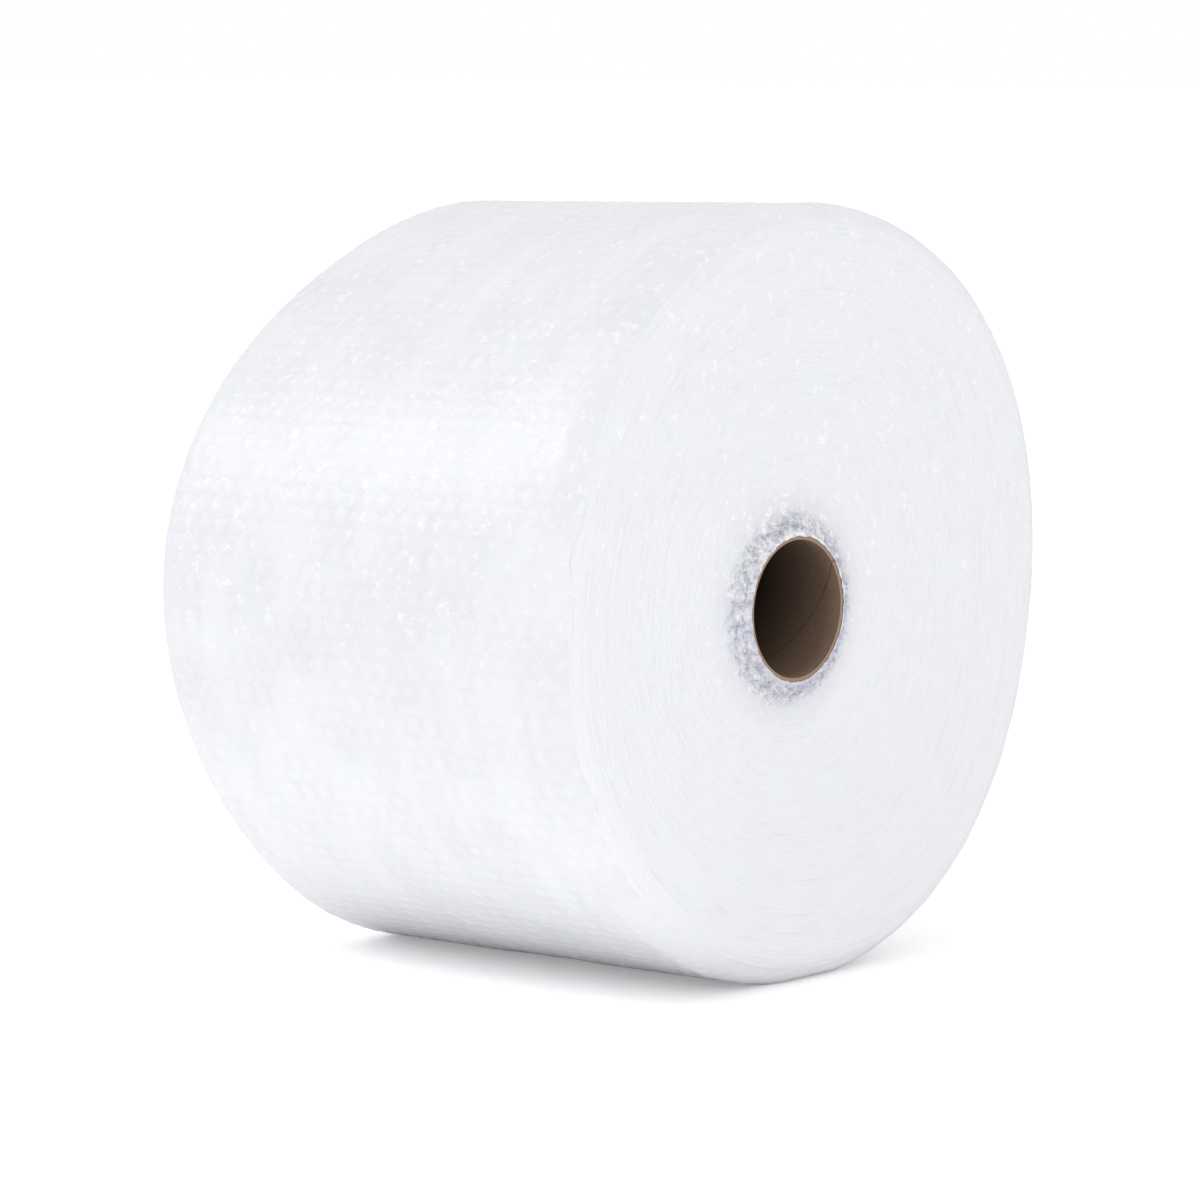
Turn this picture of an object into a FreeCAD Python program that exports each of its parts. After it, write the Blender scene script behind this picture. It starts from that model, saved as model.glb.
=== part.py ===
import FreeCAD, Part
import math
import os

# A roll of small-bubble film on a cardboard core, lying on its side. Sizes are in mm.
# X runs along the core, +X is the end that the core stands out of, and Z is up.
# The origin is on the floor, under the middle of the whole part.

# Film as it is wound
rollDiameter = 440.0        # outside, where the roll is round
filmWidth = 300.0           # along X
filmThickness = 3.0         # sheet and bubbles, pressed together in the roll
bubblePitch = 11.5          # centre to centre along a row, and along both slants
bubbleRelief = 0.5          # how far a row of bubbles swells between its two creases

# Shape that the soft roll has taken
flatDepth = 2.6             # how much of the round the floor has pressed flat
nearLobes = ((2, -0.0055, 0.0059), (3, -0.0086, 0.0021), (4, -0.0072, 0.0058))
farLobes = ((2, 0.0366, 0.0438), (3, -0.0027, 0.0161), (4, 0.0145, -0.0087))
edgeRadius = 20.0           # rounding of both ends, where the outer turns lie back
looseEndAngle = 320.0       # where the outermost turn stops, behind and low down

# Turns that show on the ends: each ridge of the spiral stands for about seven real turns
turnCount = 8
turnDepth = 1.6             # crest to groove
collarHeight = 8.0          # how far the innermost turns have crept along X
collarTurns = 1.0           # turns over which that creep dies out
turnCrowding = 0.9          # how much closer together the turns lie by the core, from 0 to 1

# Cardboard core
coreBore = 76.2             # inner diameter
coreWall = 2.5
coreLength = 304.0
coreLip = 1.5               # core past the innermost turns, at the +X end
coreAside = 34.0            # core from the roll's centre, towards -Y
coreBelow = 3.4             # core from the roll's centre, downwards
windingClearance = 0.3      # film to core, all round

# How finely curves are worked out
pointsPerTurn = 12
roundingAngles = (65.0, 30.0, 0.0)

rollRadius = rollDiameter / 2
rowSpacing = bubblePitch * math.sqrt(3) / 2
rowCount = round(2 * math.pi * rollRadius / rowSpacing)
coreRadius = coreBore / 2 + coreWall
boreRadius = coreRadius + windingClearance
landDrop = edgeRadius * (1 - math.sin(math.radians(roundingAngles[0])))
landInset = edgeRadius * (1 - math.cos(math.radians(roundingAngles[0])))
landSpan = edgeRadius * math.cos(math.radians(roundingAngles[0]))

# Where the film, the roll's centre and the core lie
coreTip = filmWidth / 2 + collarHeight + coreLip
filmMiddle = (filmWidth / 2 - coreTip) / 2
centreHeight = rollRadius - flatDepth


def outOfRound(lobes, angle):
    """Share of the radius that an end's lobes add at an angle in degrees."""
    return sum(c * math.cos(math.radians(n * angle)) + s * math.sin(math.radians(n * angle))
               for n, c, s in lobes)


def lobedRadius(angle, share):
    """Radius under the outermost turn; share is 0 at the far end and 1 at the near end."""
    lobes = share * outOfRound(nearLobes, angle) + (1 - share) * outOfRound(farLobes, angle)
    return rollRadius * (1 + lobes) - filmThickness


def widestY(side):
    """How far the roll reaches to one side of its centre, at its wider end."""
    reach = []
    for angle in range(360):
        outermost = filmThickness * ((angle - looseEndAngle) % 360) / 360
        for share in (0, 1):
            reach.append(side * (lobedRadius(angle, share) + outermost) * math.cos(math.radians(angle)))
    return max(reach)


centreY = (widestY(-1) - widestY(1)) / 2
coreY = centreY - coreAside
coreZ = centreHeight - coreBelow


def outerPoint(angle, x, inset=0.0, rise=0.0):
    """Outer surface, with rise added to the radius, kept above the floor, then drawn in by inset."""
    radius = lobedRadius(angle, x / filmWidth + 0.5) + rise
    across = math.cos(math.radians(angle))
    upward = math.sin(math.radians(angle))
    height = max(centreHeight + radius * upward, 0.0)
    return FreeCAD.Vector(filmMiddle + x, centreY + (radius - inset) * across, height - inset * upward)


def borePoint(angle, x):
    y = coreY + boreRadius * math.cos(math.radians(angle))
    z = coreZ + boreRadius * math.sin(math.radians(angle))
    return FreeCAD.Vector(filmMiddle + x, y, z)


def rowEdges(x, inset, relief):
    """One edge for each row of bubbles, once round the outer turn, which thickens as a spiral."""
    def at(step, extra):
        angle = looseEndAngle + 360.0 * step / rowCount
        return outerPoint(angle, x, inset, filmThickness * step / rowCount + extra)

    edges = []
    for row in range(rowCount):
        start = at(row, 0.0)
        middle = at(row + 0.5, relief)
        end = at(row + 1, 0.0)
        if relief > 0 and middle.z > 0:
            peak = middle * 2 - (start + end) * 0.5
            peak.z = max(peak.z, 0.0)
            swell = Part.BezierCurve()
            swell.setPoles([start, peak, end])
            edges.append(swell.toShape())
        else:
            edges.append(Part.LineSegment(start, end).toShape())
    return edges


def wallStations():
    """Places along the outer wall, from the near end's land to the far end's, with inset and relief."""
    stations = []
    for side in (1, -1):
        for degrees in roundingAngles[::side]:
            turn = math.radians(degrees)
            x = side * (filmWidth / 2 - edgeRadius * (1 - math.sin(turn)))
            inset = edgeRadius * (1 - math.cos(turn))
            relief = bubbleRelief if degrees == 0 else 0.0
            stations.append((x, inset, relief))
    stations.insert(len(roundingAngles), (0.0, 0.0, bubbleRelief))
    return stations


def restingFace(pairs):
    """The level face that the roll lies on, from pairs of edges that lie on the floor."""
    sides = []
    for edges in zip(*pairs):
        sides.append([edge.Vertexes[0].Point for edge in edges] + [edges[-1].Vertexes[-1].Point])
    corners = sides[0] + sides[1][::-1]
    return Part.Face(Part.makePolygon(corners + corners[:1]))


def wallFaces(rows):
    faces = []
    for one, other in zip(rows, rows[1:]):
        resting = []
        for pair in zip(one, other):
            if max(vertex.Z for edge in pair for vertex in edge.Vertexes) > 0:
                faces.append(Part.makeRuledSurface(*pair))
            else:
                resting.append(pair)
        if resting:
            faces.append(restingFace(resting))
    return faces


def looseEndFace(rows):
    """The step where the film's outer end stops."""
    inner = [row[0].Vertexes[0].Point for row in rows]
    outer = [row[-1].Vertexes[-1].Point for row in rows]
    return Part.Face(Part.makePolygon(inner + outer[::-1] + inner[:1]))


def endHeight(turn, side):
    """How far a turn's edge stands past the film's width; side is 1 at the near end, -1 at the far."""
    creep = min(max((1 + collarTurns - turn) / collarTurns, 0.0), 1.0)
    creep = creep * creep * (3 - 2 * creep)
    turnWidth = (rollRadius - boreRadius) / (turnCount + 1)
    past = min(max(landSpan - (turnCount - turn) * turnWidth, 0.0), landSpan)
    drop = edgeRadius - math.sqrt(edgeRadius ** 2 - past ** 2)
    return side * collarHeight * creep - drop


def turnPoint(turn, side):
    """A point of the spiral's crest: turn counts from 0 at the core, and its fraction is the angle."""
    angle = looseEndAngle + 360.0 * turn
    x = side * (filmWidth / 2 + endHeight(turn, side))
    even = (turn + 0.5) / (turnCount + 2)
    level = even * (1 - turnCrowding * (1 - even) ** 3)
    outer = outerPoint(angle, side * (filmWidth / 2 - landDrop), landInset)
    inner = borePoint(angle, x)
    point = inner * (1 - level) + outer * level
    point.x = filmMiddle + x
    return point


def groovePoint(turn, side):
    """Midway between a crest and the next one out, and below them."""
    middle = (turnPoint(turn, side) + turnPoint(turn + 1, side)) * 0.5
    return middle - FreeCAD.Vector(side * turnDepth, 0, 0)


def spiralEdge(pointAt, turn, side):
    """One whole turn of a crest or a groove, as a smooth curve."""
    steps = [step / pointsPerTurn for step in range(pointsPerTurn + 1)]
    curve = Part.BSplineCurve()
    curve.interpolate(Points=[pointAt(turn + step, side) for step in steps], Parameters=steps)
    return curve.toShape()


def closedTurn(crest):
    """A crest with the short line that closes it from its end back to its start."""
    start = crest.Vertexes[0].Point
    end = crest.Vertexes[-1].Point
    return Part.Wire([crest, Part.LineSegment(end, start).toShape()])


def stepFace(crest, groove, nextCrest, index):
    """The small upright face where a turn of the spiral starts or stops."""
    corners = [edge.Vertexes[index].Point for edge in (crest, groove, nextCrest)]
    return Part.Face(Part.makePolygon(corners + corners[:1]))


def endFaces(side, boreEdge, landEdges):
    """One end of the roll: collar, spiral ridges, and the land that meets the outer wall."""
    crests = [spiralEdge(turnPoint, turn, side) for turn in range(turnCount + 1)]
    grooves = [spiralEdge(groovePoint, turn, side) for turn in range(turnCount)]
    outerStart = landEdges[0].Vertexes[0].Point
    outerEnd = landEdges[-1].Vertexes[-1].Point
    outline = Part.Wire(landEdges + [Part.LineSegment(outerEnd, outerStart).toShape()])
    collar = Part.Face([closedTurn(crests[0]), Part.Wire([boreEdge])], "Part::FaceMakerBullseye")
    land = Part.Face([outline, closedTurn(crests[-1])], "Part::FaceMakerBullseye")
    faces = [collar, land]
    for turn in range(turnCount):
        faces.append(Part.makeRuledSurface(crests[turn], grooves[turn]))
        faces.append(Part.makeRuledSurface(grooves[turn], crests[turn + 1]))
    faces.append(stepFace(crests[0], grooves[0], crests[1], 0))
    faces.append(stepFace(crests[-2], grooves[-1], crests[-1], -1))
    return faces


def filmBore():
    """The cylinder round the core, with its edges at the near and at the far end."""
    farX = filmMiddle - filmWidth / 2 + collarHeight
    nearX = filmMiddle + filmWidth / 2 + collarHeight
    start = FreeCAD.Vector(farX, coreY, coreZ)
    tube = Part.makeCylinder(boreRadius, nearX - farX, start, FreeCAD.Vector(1, 0, 0))
    wall = next(face for face in tube.Faces if isinstance(face.Surface, Part.Cylinder))
    rims = [edge for edge in wall.Edges if edge.isClosed() and isinstance(edge.Curve, Part.Circle)]
    rims.sort(key=lambda edge: -edge.Curve.Center.x)
    return wall, rims[0], rims[1]


def makeFilmRoll():
    rows = [rowEdges(x, inset, relief) for x, inset, relief in wallStations()]
    bore, nearRim, farRim = filmBore()
    faces = wallFaces(rows)
    faces.append(looseEndFace(rows))
    faces.append(bore)
    faces += endFaces(1, nearRim, rows[0])
    faces += endFaces(-1, farRim, rows[-1])
    shell = Part.makeShell(faces)
    shell.sewShape()
    solid = Part.makeSolid(shell)
    if solid.Volume < 0:
        solid.reverse()
    return solid


def makeCore():
    """A plain tube, cut square at both ends."""
    start = FreeCAD.Vector(filmMiddle + coreTip - coreLength, coreY, coreZ)
    along = FreeCAD.Vector(1, 0, 0)
    outside = Part.makeCylinder(coreRadius, coreLength, start, along)
    inside = Part.makeCylinder(coreBore / 2, coreLength, start, along)
    return outside.cut(inside)


pieces = {"film_roll": makeFilmRoll(), "core": makeCore()}
os.makedirs("parts", exist_ok=True)
for name, shape in pieces.items():
    shape.exportStep("parts/" + name + ".step")
    box = shape.BoundBox
    print(name, "valid", shape.isValid(), "solids", len(shape.Solids), "faces", len(shape.Faces),
          "volume %.0f mm3" % shape.Volume, "x %.2f %.2f" % (box.XMin, box.XMax),
          "y %.2f %.2f" % (box.YMin, box.YMax), "z %.2f %.2f" % (box.ZMin, box.ZMax))
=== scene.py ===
import math

import bpy
import numpy as np
from mathutils import Matrix, Vector


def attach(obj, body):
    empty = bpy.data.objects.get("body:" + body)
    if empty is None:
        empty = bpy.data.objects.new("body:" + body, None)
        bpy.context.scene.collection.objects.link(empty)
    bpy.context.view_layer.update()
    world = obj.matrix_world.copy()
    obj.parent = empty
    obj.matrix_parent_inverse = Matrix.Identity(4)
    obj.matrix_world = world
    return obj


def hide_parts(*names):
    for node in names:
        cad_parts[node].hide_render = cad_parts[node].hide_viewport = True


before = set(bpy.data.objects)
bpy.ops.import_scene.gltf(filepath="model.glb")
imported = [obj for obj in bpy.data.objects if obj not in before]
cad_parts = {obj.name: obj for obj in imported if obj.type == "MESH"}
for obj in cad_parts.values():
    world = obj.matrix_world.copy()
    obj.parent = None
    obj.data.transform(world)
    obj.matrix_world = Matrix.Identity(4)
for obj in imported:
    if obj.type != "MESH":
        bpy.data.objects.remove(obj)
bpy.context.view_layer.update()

mm = 0.001

# The roll as it lies, in mm and degrees, the same as the solids
roll = {
    "radius": 220.0,
    "width": 300.0,
    "sheet": 3.0,                # thickness of one turn, pressed
    "middle": -4.75,             # middle of the film along X
    "centreY": 0.9262,
    "centreZ": 217.4,
    "edge": 20.0,                # rounding of both ends
    "looseEnd": 320.0,           # where the outermost turn stops
    "near": ((2, -0.0055, 0.0059), (3, -0.0086, 0.0021), (4, -0.0072, 0.0058)),
    "far": ((2, 0.0366, 0.0438), (3, -0.0027, 0.0161), (4, 0.0145, -0.0087)),
    "coreY": -33.0738,
    "coreZ": 214.0,
    "boreRadius": 40.9,
    "collar": 8.0,               # how far the innermost turns have crept along X
}


def eased(share):
    share = np.clip(share, 0.0, 1.0)
    return share * share * (3 - 2 * share)


# Random values on a grid of cells, eased between them. Across wraps round after its last cell.
def patchNoise(seed, across, down, cellsAcross, cellsDown):
    values = np.random.default_rng(seed).uniform(-1, 1, (cellsAcross, cellsDown + 2))
    across = np.asarray(across) * cellsAcross
    down = np.clip(down, 0.0, 1.0) * cellsDown
    column, row = np.floor(across).astype(int), np.floor(down).astype(int)
    s, t = eased(across - column), eased(down - row)
    column, following = column % cellsAcross, (column + 1) % cellsAcross
    top = values[column, row] * (1 - s) + values[following, row] * s
    bottom = values[column, row + 1] * (1 - s) + values[following, row + 1] * s
    return top * (1 - t) + bottom * t


# The same along one line, for what changes along the film as it is wound
def lineNoise(seed, along, cells):
    values = np.random.default_rng(seed).uniform(-1, 1, cells + 2)
    along = np.clip(along, 0.0, cells)
    cell = np.floor(along).astype(int)
    share = eased(along - cell)
    return values[cell] * (1 - share) + values[cell + 1] * share


# Radius of the roll under its outermost turn: a circle with a few lobes, blended from end to end
def outline(angle, x):
    share = x / roll["width"] + 0.5
    total = 0.0
    for part, lobes in ((share, roll["near"]), (1 - share, roll["far"])):
        total = total + part * sum(c * np.cos(n * angle) + s * np.sin(n * angle) for n, c, s in lobes)
    return roll["radius"] * (1 + total) - roll["sheet"]


# A closed ring of quads from points[row][column]: rows go round the roll, columns round the section
def ringPiece(name, points, material, node, marks=None):
    rows, columns, _ = points.shape
    index = np.arange(rows * columns).reshape(rows, columns)
    below = np.roll(index, -1, 0)
    quads = np.stack([index, np.roll(index, -1, 1), np.roll(below, -1, 1), below], -1).reshape(-1, 4)
    flat = (points * mm).reshape(-1, 3)
    corners = flat[quads]
    outward = np.cross(corners[:, 2] - corners[:, 0], corners[:, 3] - corners[:, 1])
    if np.einsum("ij,ij->", outward, corners.mean(1)) < 0:
        quads = quads[:, ::-1]
    mesh = bpy.data.meshes.new(name)
    mesh.from_pydata(flat.tolist(), [], quads.tolist())
    mesh.shade_smooth()
    for mark, values in (marks or {}).items():
        layer = mesh.attributes.new(mark, "FLOAT", "POINT")
        layer.data.foreach_set("value", values.astype(np.float32).ravel())
    mesh.materials.append(material)
    piece = bpy.data.objects.new(name, mesh)
    bpy.context.scene.collection.objects.link(piece)
    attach(piece, "root")
    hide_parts(node)
    return piece


# An sRGB colour such as "#aabbcc" as linear values
def linear(code):
    parts = [int(code[k:k + 2], 16) / 255 for k in (1, 3, 5)]
    return [p / 12.92 if p <= 0.04045 else ((p + 0.055) / 1.055) ** 2.4 for p in parts] + [1.0]


def addNode(tree, kind, values=None, **settings):
    node = tree.nodes.new(kind)
    for key, value in settings.items():
        setattr(node, key, value)
    for key, value in (values or {}).items():
        if isinstance(value, bpy.types.NodeSocket):
            tree.links.new(value, node.inputs[key])
        else:
            node.inputs[key].default_value = value
    return node


def newMaterial(name):
    material = bpy.data.materials.new(name)
    material.use_nodes = True
    tree = material.node_tree
    shader = tree.nodes["Principled BSDF"]
    return material, tree, shader


# Blown polyethylene bubble film, many layers deep: cool white, soft inside, glossy at its creases.
# The mark "shade" darkens it to mauve grey: painted shade in the folds, between the bubbles, in the
# grooves between turns and round the core, with tone that varies at random in streaks and patches. White
# spots are painted glints, and a faint colour noise is a painted sheen.
def filmMaterial(name, look):
    material, tree, shader = newMaterial(name)
    place = addNode(tree, "ShaderNodeTexCoord").outputs["Object"]
    shade = addNode(tree, "ShaderNodeAttribute", attribute_name="shade").outputs["Fac"]
    tint = addNode(tree, "ShaderNodeMix", {0: shade, 6: linear(look["white"]), 7: linear(look["foldsAndShade"])},
                   data_type="RGBA")
    crinkle = addNode(tree, "ShaderNodeTexNoise",
                      {"Vector": place, "Scale": look["crinkleScale"], "Detail": 4.0, "Roughness": 0.6,
                       "Distortion": 0.6})
    ripple = addNode(tree, "ShaderNodeTexVoronoi",
                     {"Vector": place, "Scale": look["rippleScale"], "Randomness": 1.0},
                     feature="F1")
    both = addNode(tree, "ShaderNodeMath", {0: crinkle.outputs["Fac"], 1: ripple.outputs["Distance"]},
                   operation="ADD")
    bump = addNode(tree, "ShaderNodeBump",
                   {"Height": both.outputs[0], "Strength": 1.0, "Distance": look["crinkleDepth"] * mm})
    # Painted glints: white spots mixed into the colour, more where shade is painted and fewer low down
    paintedGlintNoise = addNode(tree, "ShaderNodeTexNoise",
                    {"Vector": place, "Scale": look["paintedGlintScale"], "Detail": 3.0, "Roughness": 0.7,
                     "Distortion": 0.4})
    paintedGlintsInShade = addNode(tree, "ShaderNodeMath", {0: shade, 1: look["paintedGlintsInShade"], 2: paintedGlintNoise.outputs["Fac"]},
                     operation="MULTIPLY_ADD")
    parts = addNode(tree, "ShaderNodeSeparateXYZ", {"Vector": place})
    glint = addNode(tree, "ShaderNodeMapRange",
                    {"Value": parts.outputs["Z"], "From Min": look["paintedGlintFadeBelow"] * mm,
                     "From Max": look["paintedGlintFadeAbove"] * mm, "To Min": look["paintedGlintsLow"], "To Max": look["paintedGlints"]})
    paintedGlints = addNode(tree, "ShaderNodeMapRange",
                     {"Value": paintedGlintsInShade.outputs[0], "From Min": look["paintedGlintFrom"],
                      "From Max": look["paintedGlintFull"], "To Max": glint.outputs[0]})
    withPaintedGlints = addNode(tree, "ShaderNodeMix",
                    {0: paintedGlints.outputs[0], 6: tint.outputs[2], 7: (1.0, 1.0, 1.0, 1.0)},
                    data_type="RGBA")
    # Painted sheen: faint colour noise laid over the colour
    paintedSheen = addNode(tree, "ShaderNodeTexNoise", {"Vector": place, "Scale": look["paintedSheenScale"]})
    tinged = addNode(tree, "ShaderNodeMix",
                     {0: look["paintedSheen"], 6: withPaintedGlints.outputs[2], 7: paintedSheen.outputs["Color"]},
                     data_type="RGBA", blend_type="OVERLAY")
    for key, value in (("Base Color", tinged.outputs[2]), ("Normal", bump.outputs["Normal"]),
                       ("Coat Normal", bump.outputs["Normal"])):
        tree.links.new(value, shader.inputs[key])
    for key in ("Roughness", "Coat Weight", "Coat Roughness"):
        shader.inputs[key].default_value = look[key]
    return material


filmLook = {
    "white": "#f1f2f5",
    # mauve grey of painted shade and of tone that varies at random
    "foldsAndShade": "#b6b4c8",
    "crinkleScale": 320.0,       # per metre: creases about 3 mm apart
    "rippleScale": 260.0,
    "crinkleDepth": 0.22,        # mm
    "paintedGlintScale": 170.0,         # painted glints: white spots about 6 mm apart
    "paintedGlintFrom": 0.59,           # noise at which a painted glint starts and is at its whitest
    "paintedGlintFull": 0.71,
    "paintedGlintsInShade": 0.2,               # how many more painted glints there are where shade is painted
    "paintedGlints": 0.8,               # how white they are
    "paintedGlintsLow": 0.12,                # painted glints low down, where the film faces no light
    "paintedGlintFadeBelow": 115.0,          # heights over the floor, in mm, between which they fade
    "paintedGlintFadeAbove": 250.0,
    "paintedSheenScale": 45.0,          # tinges about 22 mm across
    "paintedSheen": 0.16,               # painted sheen: faint green and violet tinges, as thin clear film shows in its reflections
    "Roughness": 0.36,
    "Coat Weight": 0.3,
    "Coat Roughness": 0.14,
}
film = filmMaterial("blownBubbleFilm", filmLook)

# Outer wall: one sheet of bubbles over the turns beneath
wall = {
    "pitch": 11.5,               # between bubbles, along the roll
    "rows": 139,
    "perRow": 4,                 # points in a row and in a pitch
    "perPitch": 6,
    "bubble": 5.0,               # radius of a bubble's foot
    "blunt": 0.8,                # flatness of its top
    "relief": 0.6,
    "wave": 0.7,                 # slack of the whole sheet
    "settle": 0.9,               # how much of its bubbles the sheet loses at its edges
    "sink": 1.3,                 # how far the sheet's edges settle between the turns
    "lap": 54.0,                 # how far round the rounding the sheet reaches, in degrees
    "lapWave": 8.0,
    "lapCells": 60,              # cells of noise round the roll and along it
    "slackCells": (44, 6),
    "creaseCells": (20, 30),
    "pressCells": (70, 22),
    "streakCells": (26, 52),
    "patchCells": (48, 11),
    "back": 14.0,                # how deep the hidden back of the piece lies
    "plainShade": 0.03,          # mauve grey all over and in random streaks and patches; between the bubbles it is painted shade
    "paintedGapShade": 0.09,
    "streakShade": 0.04,
    "patchShade": 0.055,
}


# Radius = outline + spiral growth + bubble caps on a staggered lattice + slack, drawn in at both ends
def wallPoints():
    steps = wall["rows"] * wall["perRow"]
    turn = np.arange(steps + 1)[:, None] / steps
    angle = np.radians(roll["looseEnd"]) + 2 * np.pi * turn
    straight = roll["width"] / 2 - roll["edge"]
    count = int(round(2 * straight / wall["pitch"] * wall["perPitch"]))
    xs = np.linspace(straight, -straight, count + 1)
    lap = wall["lap"] + wall["lapWave"] * np.stack(
        [patchNoise(seed, turn[:, 0], 0.0, wall["lapCells"], 1) for seed in (11, 12)], -1)
    bends = np.concatenate([[1.0, 0.98], np.linspace(0.88, 0.0, 8)[:-1]])
    nearBend = np.radians(lap[:, :1]) * bends
    farBend = np.radians(lap[:, 1:]) * bends[::-1]
    bend = np.concatenate([nearBend, np.zeros((steps + 1, count + 1)), farBend], 1)
    settled = 1 - wall["settle"] * np.concatenate([bends, np.zeros(count + 1), bends[::-1]])[None, :]
    side = np.concatenate([np.ones(len(bends)), np.sign(xs), -np.ones(len(bends))])[None, :]
    base = np.concatenate([np.full(len(bends), straight), xs, np.full(len(bends), -straight)])[None, :]
    x = base + side * roll["edge"] * np.sin(bend)
    inset = roll["edge"] * (1 - np.cos(bend))
    row = turn * wall["rows"]
    nearest = np.full(np.broadcast(row, x).shape, 1e9)
    for step in (0, 1):
        centreRow = np.floor(row) + step
        offset = 0.5 * (centreRow % 2)
        across = x / wall["pitch"] - offset
        across = (across - np.round(across)) * wall["pitch"]
        down = (row - centreRow) * wall["pitch"] * math.sqrt(3) / 2
        nearest = np.minimum(nearest, across ** 2 + down ** 2)
    cap = np.clip(1 - nearest / wall["bubble"] ** 2, 0, 1) ** wall["blunt"]
    across = base / roll["width"] + 0.5
    slack = patchNoise(13, turn, across, *wall["slackCells"])
    slack = slack + 0.5 * patchNoise(14, turn, across, *wall["creaseCells"])
    pressed = 0.6 + 0.4 * patchNoise(15, turn, across, *wall["pressCells"])
    lift = (wall["relief"] * cap * pressed + wall["wave"] * 0.5 * slack) * settled
    lift = lift - wall["sink"] * (1 - settled)
    radius = outline(angle, base) + roll["sheet"] * turn * settled
    out = radius + lift * np.cos(bend)
    x = x + side * lift * np.sin(bend)
    z = np.maximum(roll["centreZ"] + out * np.sin(angle), 0.0) - inset * np.sin(angle)
    y = roll["centreY"] + (out - inset) * np.cos(angle)
    face = np.stack([roll["middle"] + x, y, z], -1)
    backX = np.linspace(-straight, straight, 5)[None, :] + 0.0 * turn
    backRadius = outline(angle, backX) + roll["sheet"] * turn
    backZ = np.maximum(roll["centreZ"] + backRadius * np.sin(angle), 0.0) - wall["back"] * np.sin(angle)
    backY = roll["centreY"] + (backRadius - wall["back"]) * np.cos(angle)
    back = np.stack([roll["middle"] + backX, backY, backZ], -1)
    streak = patchNoise(16, turn, across, *wall["streakCells"])
    patch = patchNoise(17, turn, across, *wall["patchCells"])
    # Painted shade between the bubbles, over tone that varies at random in streaks and patches
    shade = wall["plainShade"] + wall["paintedGapShade"] * (1 - cap) * pressed
    shade = np.clip(shade + wall["streakShade"] * streak + wall["patchShade"] * patch, 0.0, 1.0)
    return np.concatenate([face, back], 1), np.concatenate([shade, 0.0 * backX], 1)


points, shade = wallPoints()
ringPiece("film_wall", points, film, "film_roll", {"shade": shade})
print("wall:", points.shape)

# Ends of the roll, with the edge of each turn of film
ends = {
    "turns": 61,
    "perTurn": 5,
    "around": 318,               # points round the roll
    "ridge": 0.22,               # crest to groove
    "crinkle": 0.6,              # how unevenly the turns stand
    "crumple": 3.2,              # the same beside the core
    "crumpleFrom": 18.0,         # where that starts, out from the bore, and where it is full
    "crumpleFull": 8.0,
    "foldCells": (170, 130),     # cells of noise round the roll and from the bore outwards
    "broadCells": (40, 14),
    "wanderCells": (14, 9),
    "puckers": 90,               # cells of crinkle in each turn, fine and coarse
    "coarsePuckers": 23,
    "wander": 0.8,               # how far a turn strays from an even spiral, in turns
    "tuck": 0.3,                 # the turns beneath the outer sheet
    "reach": 3.0,                # nearest that they come to the outer surface
    "dip": 1.2,                  # how much lower they lie there, and over how much of the end
    "dipFrom": 6.5,
    "dipWidth": 3.0,
    "rise": 1.1,                 # how much the near end rises at the bore, over the last 4 mm
    "riseWidth": 4.0,
    "collarTop": 4.0,            # innermost turns that stand out the most
    "collarFoot": 31.0,
    "brim": 2.0,                 # how much of the collar's height is a steep brim beside the core
    "brimTop": 5.0,
    "brimFoot": 9.0,
    "lip": 1.0,                  # how far the near end's innermost turn leans over the core's rim
    "lipWidth": 1.2,
    "lipStart": 154.85,          # just beyond the rim, along X
    "depth": 34.0,               # how deep the hidden back of the piece lies
    "backInset": 12 / 175,       # how far in from the outer surface it starts
    "crumpleShade": 0.52,        # painted shade, mauve grey, in the crumple's folds, out to its foot
    "crumpleFoot": 11.5,
    "crumpleFade": 6.5,
    "haloShade": 0.34,           # painted shade, soft grey, round the core
    "haloFoot": 34.0,
    "ridgeShade": 0.01,          # painted shade in the grooves between the turns and on turns that lie lower
    "hollowShade": 0.03,
}


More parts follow.
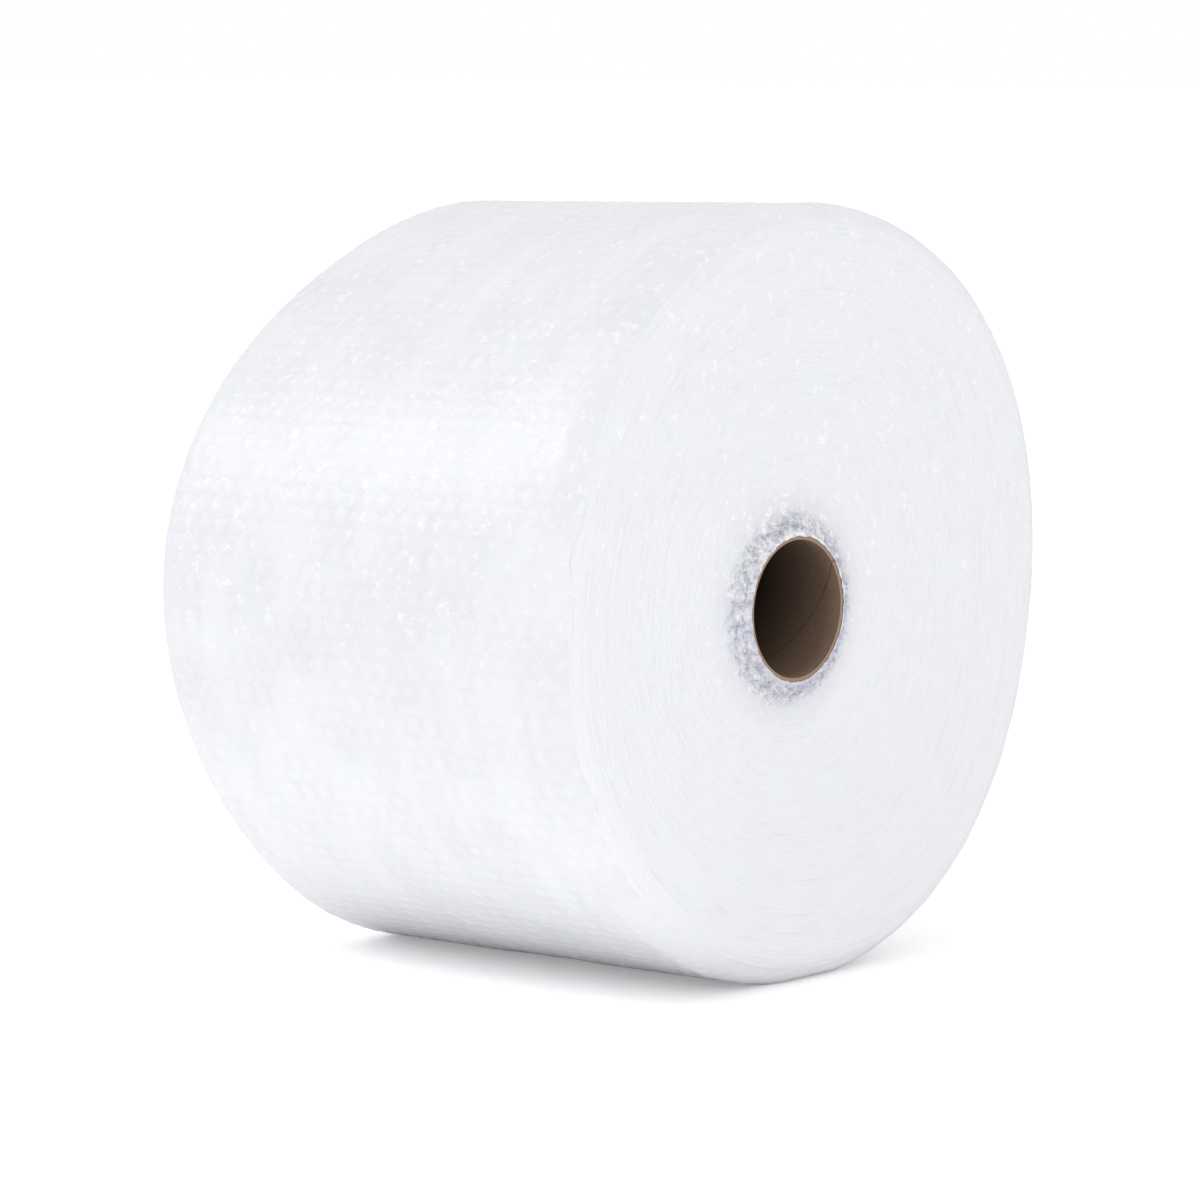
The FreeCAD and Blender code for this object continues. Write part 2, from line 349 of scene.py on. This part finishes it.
# Mix of bore and outline by level; x = half width less the rounding, plus collar, ridges and crinkles
def endPoints(side, seed):
    around, across = ends["around"], ends["turns"] * ends["perTurn"]
    turn = np.arange(around)[:, None] / around
    angle = np.radians(roll["looseEnd"]) + 2 * np.pi * turn
    level = (np.arange(across + 1) / across)[None, :]
    half = roll["width"] / 2
    radius = outline(angle, side * half) - ends["tuck"]
    outerY = roll["centreY"] + radius * np.cos(angle)
    outerZ = np.maximum(roll["centreZ"] + radius * np.sin(angle), ends["tuck"])
    innerY = roll["coreY"] + roll["boreRadius"] * np.cos(angle)
    innerZ = roll["coreZ"] + roll["boreRadius"] * np.sin(angle)
    span = np.hypot(outerY - innerY, outerZ - innerZ)
    level = level * (1 - ends["reach"] / span)
    inset = (1 - level) * span
    bend = np.arccos(np.clip(1 - inset / roll["edge"], 0, 1))
    drop = roll["edge"] * (1 - np.sin(bend))
    y = innerY * (1 - level) + outerY * level
    z = innerZ * (1 - level) + outerZ * level
    out = level * span
    slope = eased((ends["collarFoot"] - out) / (ends["collarFoot"] - ends["collarTop"]))
    brim = eased((ends["brimFoot"] - out) / (ends["brimFoot"] - ends["brimTop"]))
    creep = (roll["collar"] - ends["brim"]) * slope + ends["brim"] * brim
    everyTurn = turn + 0 * level
    wander = ends["wander"] * patchNoise(seed + 5, everyTurn, level, *ends["wanderCells"])
    wound = level * ends["turns"] - turn + wander
    film = np.floor(wound) + turn + 1
    phase = wound - np.floor(wound)
    ridge = -ends["ridge"] * (0.5 + 0.5 * np.cos(2 * np.pi * phase))
    fine, coarse, films = ends["puckers"], ends["coarsePuckers"], ends["turns"] + 2
    uneven = lineNoise(seed, film * fine, films * fine)
    uneven = uneven + 0.6 * lineNoise(seed + 1, film * coarse, films * coarse)
    broad = patchNoise(seed + 2, everyTurn, level, *ends["broadCells"])
    nearCore = eased((ends["crumpleFrom"] - out) / (ends["crumpleFrom"] - ends["crumpleFull"]))
    foldsAndShade = np.abs(patchNoise(seed + 3, everyTurn, level, *ends["foldCells"]))
    lift = ridge + ends["crinkle"] * (0.45 * uneven + 0.35 * broad - 0.6)
    atBore = eased(1 - out / ends["riseWidth"])
    lift = (lift * (1 - 0.6 * nearCore) - ends["crumple"] * nearCore * foldsAndShade) * (1 - 0.8 * atBore)
    lift = lift + (ends["rise"] * atBore if side > 0 else 0.0)
    lift = lift - ends["dip"] * eased((ends["dipFrom"] - inset) / ends["dipWidth"])
    x = side * (half - drop + lift * np.sin(bend)) + creep
    outward = lift * np.cos(bend)
    y = y + outward * np.cos(angle)
    z = np.maximum(z + outward * np.sin(angle), 0.0)
    # Painted shade: mauve grey in the crumple's folds, soft grey round the core, and darker grooves and
    # lower-lying turns
    inCrumple = eased((ends["crumpleFoot"] - out) / ends["crumpleFade"])
    shade = ends["crumpleShade"] * inCrumple * (0.2 + 1.8 * foldsAndShade)
    shade = shade + ends["haloShade"] * eased(1 - out / ends["haloFoot"])
    shade = shade + ends["ridgeShade"] * (0.5 + 0.5 * np.cos(2 * np.pi * phase))
    shade = np.clip(shade + ends["hollowShade"] * np.clip(-uneven, 0, 1), 0, 1)
    if side > 0:
        frilled = 0.8 + 0.5 * patchNoise(seed + 6, turn, 0.0, 80, 1)
        lean = eased(1 - out / ends["lipWidth"]) * ends["lip"] * frilled
        y = y - lean * np.cos(angle)
        z = z - lean * np.sin(angle)
        foot = np.full_like(innerY, ends["lipStart"] - roll["middle"])
        x = np.where(lean > 0, np.maximum(x + 0.9 * lean, foot + 0.3), x)
        x = np.concatenate([foot, np.maximum(foot + 0.1, x[:, :1] - 0.25), x], 1)
        y = np.concatenate([innerY, y[:, :1], y], 1)
        z = np.concatenate([innerZ, z[:, :1], z], 1)
        shade = np.concatenate([shade[:, :2], shade], 1)
    face = np.stack([roll["middle"] + x, y, z], -1)
    hidden = np.array([1 - ends["backInset"], 0.5, 0.0])[None, :] + 0 * turn
    backY = innerY * (1 - hidden) + outerY * hidden
    backZ = innerZ * (1 - hidden) + outerZ * hidden
    backX = np.full_like(backY, roll["middle"] + side * (half - ends["depth"]))
    back = np.stack([backX, backY, backZ], -1)
    return np.concatenate([face, back], 1), np.concatenate([shade, 0 * backY], 1)


for name, side, seed in (("film_end_near", 1, 31), ("film_end_far", -1, 51)):
    points, shade = endPoints(side, seed)
    ringPiece(name, points, film, "film_roll", {"shade": shade})
    print("end:", name, points.shape)

# Cardboard core
core = {
    "inner": 38.1,
    "outer": 40.6,
    "start": -149.25,
    "end": 154.75,
    "around": 192,               # points round the core, along it and over its cut end
    "along": 33,
    "over": 17,
    "plies": 4,
    "groove": 0.18,              # between the plies
    "fray": 0.08,
    "chamfer": 0.25,
    "board": "#8a7361",
    "fibre": "#705b4a",
    "deep": "#1d130d",           # painted shade deep in the bore, where little light reaches; also the colour of the seam
    "paintedShadeUpTo": 85.0,            # distance from the middle of the roll at which the painted shade starts to fade
    "boardFrom": 150.0,
    "rim": "#a58f7a",
    "seamPitch": 142.0,          # how far the seam runs along the core in one turn
    "seamStart": 139.7,
    "seamFrom": 0.001,           # half its width, dark and faded, as a share of a turn
    "seamTo": 0.0026,
    "seamShade": 0.65,
}


# A tube whose cut ends show the grooves between the plies
def corePoints():
    turn = np.arange(core["around"])[:, None] / core["around"]
    angle = 2 * np.pi * turn
    long, over, chamfer = core["along"], core["over"], core["chamfer"]
    rim = np.linspace(core["inner"] + chamfer, core["outer"] - chamfer, over)
    ply = core["plies"] * (np.arange(over) / (over - 1) + 0.5)
    groove = -core["groove"] * (0.5 - 0.5 * np.cos(2 * np.pi * ply))
    along = np.linspace(core["start"] + chamfer, core["end"] - chamfer, long)
    radius = np.concatenate([np.full(long, core["inner"]), rim, np.full(long, core["outer"]), rim[::-1]])
    x = np.concatenate([along, core["end"] + groove, along[::-1], core["start"] - groove])
    fray = core["fray"] * patchNoise(71, turn, 0.0, 70, 1)
    atRim = np.concatenate([np.zeros(long), np.ones(over), np.zeros(long), -np.ones(over)])[None, :]
    x = x[None, :] + (fray - core["fray"]) * atRim
    y = roll["coreY"] + radius[None, :] * np.cos(angle)
    z = roll["coreZ"] + radius[None, :] * np.sin(angle)
    return np.stack([x, y, z], -1), np.abs(atRim) + 0 * turn


# Kraft board wound in a spiral: brown, matt, fibrous, lighter on the cut rim, with one butt seam inside.
# Painted shade darkens it from both mouths to the middle of the bore, more in its upper half.
def boardMaterial():
    material, tree, shader = newMaterial("spiralKraftBoard")
    place = addNode(tree, "ShaderNodeTexCoord").outputs["Object"]
    centred = addNode(tree, "ShaderNodeVectorMath",
                      {0: place, 1: (0.0, roll["coreY"] * mm, roll["coreZ"] * mm)}, operation="SUBTRACT")
    parts = addNode(tree, "ShaderNodeSeparateXYZ", {"Vector": centred.outputs[0]})
    angle = addNode(tree, "ShaderNodeMath", {0: parts.outputs["Z"], 1: parts.outputs["Y"]},
                    operation="ARCTAN2")
    part = addNode(tree, "ShaderNodeMath", {0: angle.outputs[0], 1: 1 / (2 * math.pi)},
                   operation="MULTIPLY")
    along = addNode(tree, "ShaderNodeMath", {0: parts.outputs["X"], 1: -core["seamStart"] * mm},
                    operation="ADD")
    turns = addNode(tree, "ShaderNodeMath", {0: along.outputs[0], 1: core["seamPitch"] * mm},
                    operation="DIVIDE")
    phase = addNode(tree, "ShaderNodeMath", {0: turns.outputs[0], 1: part.outputs[0]},
                    operation="SUBTRACT")
    away = addNode(tree, "ShaderNodeMath", {0: phase.outputs[0], 1: 0.5}, operation="PINGPONG")
    seam = addNode(tree, "ShaderNodeMapRange",
                   {"Value": away.outputs[0], "From Min": core["seamFrom"], "From Max": core["seamTo"],
                    "To Min": core["seamShade"], "To Max": 0.0})
    fibre = addNode(tree, "ShaderNodeTexNoise",
                    {"Vector": place, "Scale": 420.0, "Detail": 5.0, "Roughness": 0.65})
    cut = addNode(tree, "ShaderNodeAttribute", attribute_name="cut").outputs["Fac"]
    # Painted shade in the bore: darker toward the middle of the roll and in its upper half
    out = addNode(tree, "ShaderNodeMath", {0: parts.outputs["X"]}, operation="ABSOLUTE")
    lower = addNode(tree, "ShaderNodeMath", {0: parts.outputs["Z"], 1: -0.5, 2: out.outputs[0]},
                    operation="MULTIPLY_ADD")
    depth = addNode(tree, "ShaderNodeMapRange",
                    {"Value": lower.outputs[0], "From Min": core["paintedShadeUpTo"] * mm,
                     "From Max": core["boardFrom"] * mm, "To Min": 1.0, "To Max": 0.0})
    fibred = addNode(tree, "ShaderNodeMix",
                     {0: fibre.outputs["Fac"], 6: linear(core["fibre"]), 7: linear(core["board"])},
                     data_type="RGBA")
    board = addNode(tree, "ShaderNodeMix",
                    {0: depth.outputs[0], 6: fibred.outputs[2], 7: linear(core["deep"])}, data_type="RGBA")
    rim = addNode(tree, "ShaderNodeMix", {0: cut, 6: board.outputs[2], 7: linear(core["rim"])},
                  data_type="RGBA")
    seamed = addNode(tree, "ShaderNodeMix",
                     {0: seam.outputs[0], 6: rim.outputs[2], 7: linear(core["deep"])}, data_type="RGBA")
    bump = addNode(tree, "ShaderNodeBump",
                   {"Height": fibre.outputs["Fac"], "Strength": 0.6, "Distance": 0.15 * mm})
    tree.links.new(seamed.outputs[2], shader.inputs["Base Color"])
    tree.links.new(bump.outputs["Normal"], shader.inputs["Normal"])
    shader.inputs["Roughness"].default_value = 0.85
    shader.inputs["Specular IOR Level"].default_value = 0.25
    return material


points, cut = corePoints()
ringPiece("core_tube", points, boardMaterial(), "core", {"cut": cut})
print("core:", points.shape)

# Camera as the photo was taken: pixels are those of a 1200 by 1200 picture
view = {
    "azimuth": 40.749,
    "elevation": 6.594,
    "distance": 2814.0,
    "focal": 4900.0,
    "centre": (617.1, 576.75),
}
a, e = math.radians(view["azimuth"]), math.radians(view["elevation"])
back = Vector((math.sin(a) * math.cos(e), -math.cos(a) * math.cos(e), math.sin(e)))
right = Vector((math.cos(a), math.sin(a), 0.0))
up = back.cross(right)
target = Vector((roll["middle"], roll["centreY"], roll["centreZ"])) * mm
distance = view["distance"] * mm
shift = [(c - 600) / view["focal"] * distance for c in view["centre"]]
camera = bpy.data.objects.new("photoCamera", bpy.data.cameras.new("photoCamera"))
camera.data.sensor_width = 36.0
camera.data.lens = 36.0 * view["focal"] / 1200
camera.data.clip_end = 100.0
place = target - right * shift[0] + up * shift[1] + back * distance
camera.matrix_world = Matrix.Translation(place) @ Matrix((right, up, back)).transposed().to_4x4()
bpy.context.scene.collection.objects.link(camera)
bpy.context.scene.camera = camera

# Soft studio light: azimuth, elevation and distance from the point that the lamp is turned to.
# The gridded lamp lights only the floor in front, which throws light on the underside of the roll.
middle = (0.0, 0.0, 0.217)
lamps = {
    "softboxLeft": {"aim": middle, "from": (-42, 34, 3.2), "size": (2.2, 1.2), "power": 12.0,
                    "spread": 180},
    "softboxLow": {"aim": middle, "from": (40, 3, 3.2), "size": (3.4, 0.5), "power": 7.0,
                   "spread": 180},
    "softboxRight": {"aim": middle, "from": (98, 10, 3.0), "size": (2.2, 1.4), "power": 5.0,
                     "spread": 180},
    "gridOnFloor": {"aim": (0, -0.25, 0), "from": (0, 50, 2.6), "size": (1.2, 0.1), "power": 0.17,
                    "spread": 5},
}
for name, lamp in lamps.items():
    data = bpy.data.lights.new(name, "AREA")
    data.shape = "RECTANGLE"
    data.size, data.size_y = lamp["size"]
    data.energy = lamp["power"]
    data.spread = math.radians(lamp["spread"])
    az, el, far = math.radians(lamp["from"][0]), math.radians(lamp["from"][1]), lamp["from"][2]
    way = Vector((math.sin(az) * math.cos(el), -math.cos(az) * math.cos(el), math.sin(el)))
    light = bpy.data.objects.new(name, data)
    light.location = Vector(lamp["aim"]) + way * far
    light.rotation_euler = way.to_track_quat("Z", "Y").to_euler()
    bpy.context.scene.collection.objects.link(light)

studio = {
    "light": 0.885,              # strength of the plain light from all round
    "paper": 0.97,
    "paperGlow": 0.25,           # seen directly only, so it lights nothing
    "floorHalf": 40.0,           # metres
    "floorTop": -0.0002,
}

world = bpy.data.worlds.new("studio")
world.use_nodes = True
bpy.context.scene.world = world
tree = world.node_tree
tree.nodes.clear()
rays = addNode(tree, "ShaderNodeLightPath").outputs["Is Camera Ray"]
glow = addNode(tree, "ShaderNodeBackground", {"Color": (0.99, 0.99, 1.0, 1.0),
                                                   "Strength": studio["light"]})
plain = addNode(tree, "ShaderNodeBackground", {"Color": (1.0, 1.0, 1.0, 1.0), "Strength": 1.0})
either = addNode(tree, "ShaderNodeMixShader", {0: rays, 1: glow.outputs[0], 2: plain.outputs[0]})
addNode(tree, "ShaderNodeOutputWorld", {"Surface": either.outputs[0]})

# White floor: matt paper that gets enough of a glow, seen directly, to reach white away from the roll
mesh = bpy.data.meshes.new("floor")
mesh.from_pydata([(x * studio["floorHalf"], y * studio["floorHalf"], studio["floorTop"])
                  for x, y in ((-1, -1), (1, -1), (1, 1), (-1, 1))], [], [(0, 1, 2, 3)])
paper = bpy.data.materials.new("paperFloor")
paper.use_nodes = True
tree = paper.node_tree
tree.nodes.clear()
rays = addNode(tree, "ShaderNodeLightPath").outputs["Is Camera Ray"]
matt = addNode(tree, "ShaderNodeBsdfDiffuse", {"Color": (studio["paper"],) * 3 + (1.0,)})
seen = addNode(tree, "ShaderNodeMath", {0: rays, 1: studio["paperGlow"]}, operation="MULTIPLY")
light = addNode(tree, "ShaderNodeEmission", {"Color": (1.0, 1.0, 1.0, 1.0), "Strength": seen.outputs[0]})
total = addNode(tree, "ShaderNodeAddShader", {0: matt.outputs[0], 1: light.outputs[0]})
addNode(tree, "ShaderNodeOutputMaterial", {"Surface": total.outputs[0]})
mesh.materials.append(paper)
floor = bpy.data.objects.new("floor", mesh)
bpy.context.scene.collection.objects.link(floor)

bpy.context.scene.view_settings.view_transform = "Standard"


print("done")
